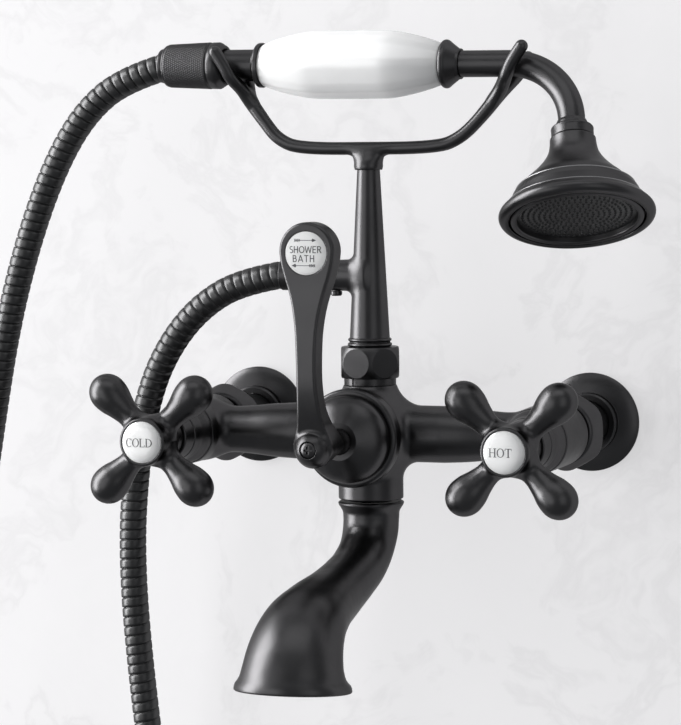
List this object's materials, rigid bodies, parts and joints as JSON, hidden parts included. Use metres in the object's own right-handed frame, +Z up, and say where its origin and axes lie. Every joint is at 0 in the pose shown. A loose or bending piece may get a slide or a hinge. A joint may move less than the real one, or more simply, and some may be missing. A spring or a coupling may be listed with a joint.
{
  "type": "wall-mounted bath faucet with hand shower",
  "caption": "Wall-mounted two-handle bath faucet in satin black with curved spout, diverter lever, riser cradle, porcelain-grip hand shower and hanging metal hose.",
  "frame": {"origin": "point on the wall face midway between the two water inlets", "axes": "+X along the wall to the hot side, +Y into the wall, +Z up along the riser"},
  "size_m": [0.4068, 0.2142, 0.6986],
  "materials": {
    "black_metal": "satin",
    "brass": "satin",
    "steel": "satin",
    "porcelain": "gloss",
    "disc_ceramic": "polished",
    "rubber": "matte",
    "spray_face": "satin",
    "hose_metal": "satin"
  },
  "bodies": {
    "faucet": {"body_casting": "black_metal", "diverter_ring": "black_metal", "diverter_bonnet": "black_metal", "riser_lock_ring": "black_metal", "riser_nut": "black_metal", "riser_column": "black_metal", "outlet_screw": "black_metal", "cradle": "black_metal", "outlet_nut": "black_metal", "spout": "black_metal", "cold_escutcheon": "black_metal", "cold_inlet_tail": "black_metal", "cold_union_nut": "black_metal", "cold_bonnet": "black_metal", "hot_escutcheon": "black_metal", "hot_inlet_tail": "black_metal", "hot_union_nut": "black_metal", "hot_bonnet": "black_metal", "cold_cartridge": "brass", "hot_cartridge": "brass", "cold_fixed_disc": "disc_ceramic", "hot_fixed_disc": "disc_ceramic", "riser_washer": "rubber", "outlet_washer": "rubber", "cold_union_washer": "rubber", "hot_union_washer": "rubber", "hose": "hose_metal"},
    "hot_handle": {"hot_handle": "black_metal", "hot_button": "porcelain", "hot_handle_screw": "steel", "hot_stem": "brass", "hot_moving_disc": "disc_ceramic"},
    "cold_handle": {"cold_handle": "black_metal", "cold_button": "porcelain", "cold_handle_screw": "steel", "cold_stem": "brass", "cold_moving_disc": "disc_ceramic"},
    "lever": {"diverter_lever": "black_metal", "lever_index": "porcelain", "lever_screw": "black_metal", "diverter_stem": "brass", "diverter_plug": "brass"},
    "hand_shower": {"handset_shank": "black_metal", "grip_left_collar": "black_metal", "porcelain_grip": "porcelain", "grip_right_collar": "black_metal", "handset_elbow": "black_metal", "neck_collar": "black_metal", "shower_bell": "black_metal", "spray_plate": "spray_face", "spray_ring": "black_metal", "hose_nut": "black_metal", "handset_washer": "rubber"}
  },
  "joints": [
    {"name": "hot_handle_turn", "type": "hinge", "parent": "faucet", "child": "hot_handle", "pos_m": [0.089, -0.142, 0], "axis": [0, -1, 0], "range_deg": [0, 90]},
    {"name": "cold_handle_turn", "type": "hinge", "parent": "faucet", "child": "cold_handle", "pos_m": [-0.089, -0.142, 0], "axis": [0, 1, 0], "range_deg": [0, 90]},
    {"name": "diverter_turn", "type": "hinge", "parent": "faucet", "child": "lever", "pos_m": [0, -0.15, 0], "axis": [0, 1, 0], "range_deg": [-45, 45]},
    {"name": "hand_shower_lift", "type": "slide", "parent": "faucet", "child": "hand_shower", "axis": [0, 0, 1], "range_m": [0, 0.06]}
  ]
}
